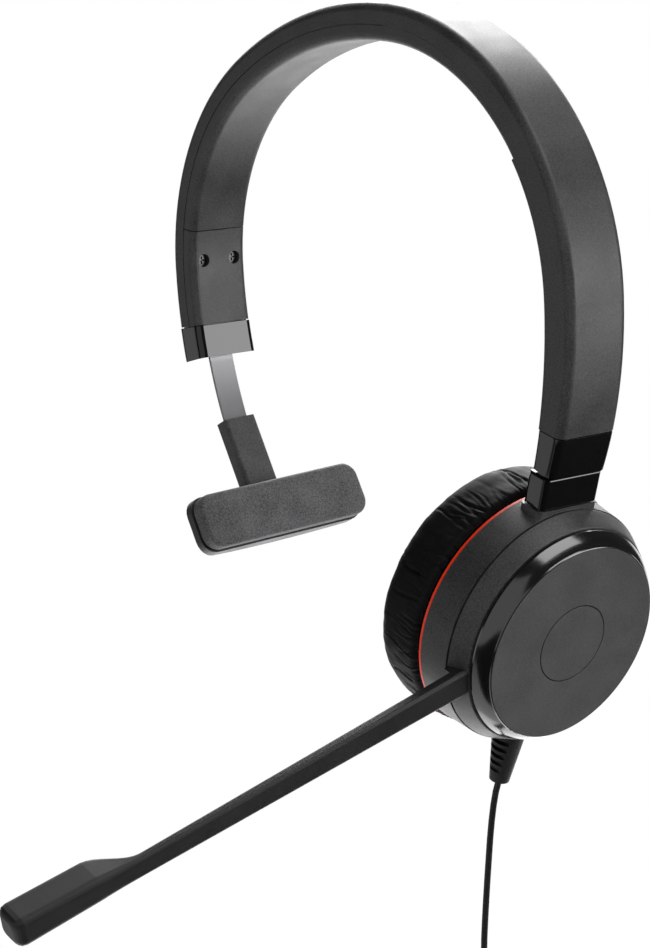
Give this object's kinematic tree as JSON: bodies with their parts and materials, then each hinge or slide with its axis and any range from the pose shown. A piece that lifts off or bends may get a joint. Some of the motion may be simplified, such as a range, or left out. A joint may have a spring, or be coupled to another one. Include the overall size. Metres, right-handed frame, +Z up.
{
  "type": "office headset",
  "caption": "Corded headset for one ear: sprung headband with a T-shaped temple rest, a padded ear cup on a sliding yoke, and a long microphone boom that turns round the cup.",
  "frame": {"origin": "underside of the headband at the middle of its length, where it rests on the head", "axes": "+Z up, +X towards the ear cup, -Y the way the wearer faces"},
  "size_m": [0.1595, 0.1808, 0.3132],
  "materials": {
    "band": "fine matte grain",
    "band_inner": "fine matte grain",
    "gloss": "high gloss",
    "screw": "satin",
    "strip": "satin",
    "stem": "matte",
    "pad_back": "matte",
    "pad": "matte foam skin",
    "housing": "fine matte grain",
    "trim": "satin",
    "cloth": "open weave",
    "leather": "soft wrinkled leatherette",
    "boom": "fine matte grain",
    "rubber": "matte",
    "cord": "satin",
    "plug": "matte",
    "contact": "polished"
  },
  "bodies": {
    "headband": {"band_shell": "band", "band_liner": "band_inner", "rest_cover_plate": "band_inner", "cup_cover_plate": "band_inner", "rest_cap": "gloss", "cup_cap": "gloss", "rest_screw_front": "screw", "rest_screw_back": "screw", "cup_screw_front": "screw", "cup_screw_back": "screw"},
    "temple_rest": {"rest_strip": "strip", "rest_stem": "stem", "rest_shell": "pad_back", "temple_pad": "pad"},
    "cup_slider": {"cup_strip": "strip", "yoke_block": "gloss", "yoke_pin": "screw"},
    "ear_cup": {"cup_housing": "housing", "trim_ring": "trim", "speaker_plate": "pad_back", "speaker": "pad_back", "speaker_cloth": "cloth", "ear_cushion": "leather", "gloss_ring": "gloss", "face_cap": "housing", "badge_disc": "housing", "strain_relief": "rubber", "cord": "cord", "cord_coil": "cord", "coil_tie": "cord", "cord_tail": "cord", "plug_grip": "plug", "plug_pin": "contact"},
    "boom": {"boom_ring": "housing", "boom_arm": "boom", "mic_head": "boom", "mic_grille": "cloth"}
  },
  "joints": [
    {"name": "rest_slide", "type": "hinge", "parent": "headband", "child": "temple_rest", "pos_m": [0.03034, 0, -0.05948], "axis": [0, -1, 0], "range_deg": [-9, 3.9]},
    {"name": "cup_slide", "type": "hinge", "parent": "headband", "child": "cup_slider", "pos_m": [-0.04346, 0, -0.06299], "axis": [0, 1, 0], "range_deg": [0, 14.3]},
    {"name": "cup_swivel", "type": "hinge", "parent": "cup_slider", "child": "ear_cup", "pos_m": [0.05057, 0, -0.13897], "axis": [0.2756, 0, 0.9613], "range_deg": [-10, 10]},
    {"name": "boom_turn", "type": "hinge", "parent": "ear_cup", "child": "boom", "pos_m": [0.0636, 0, -0.1427], "axis": [-0.9613, 0, 0.2756], "range_deg": [-45, 225]}
  ]
}
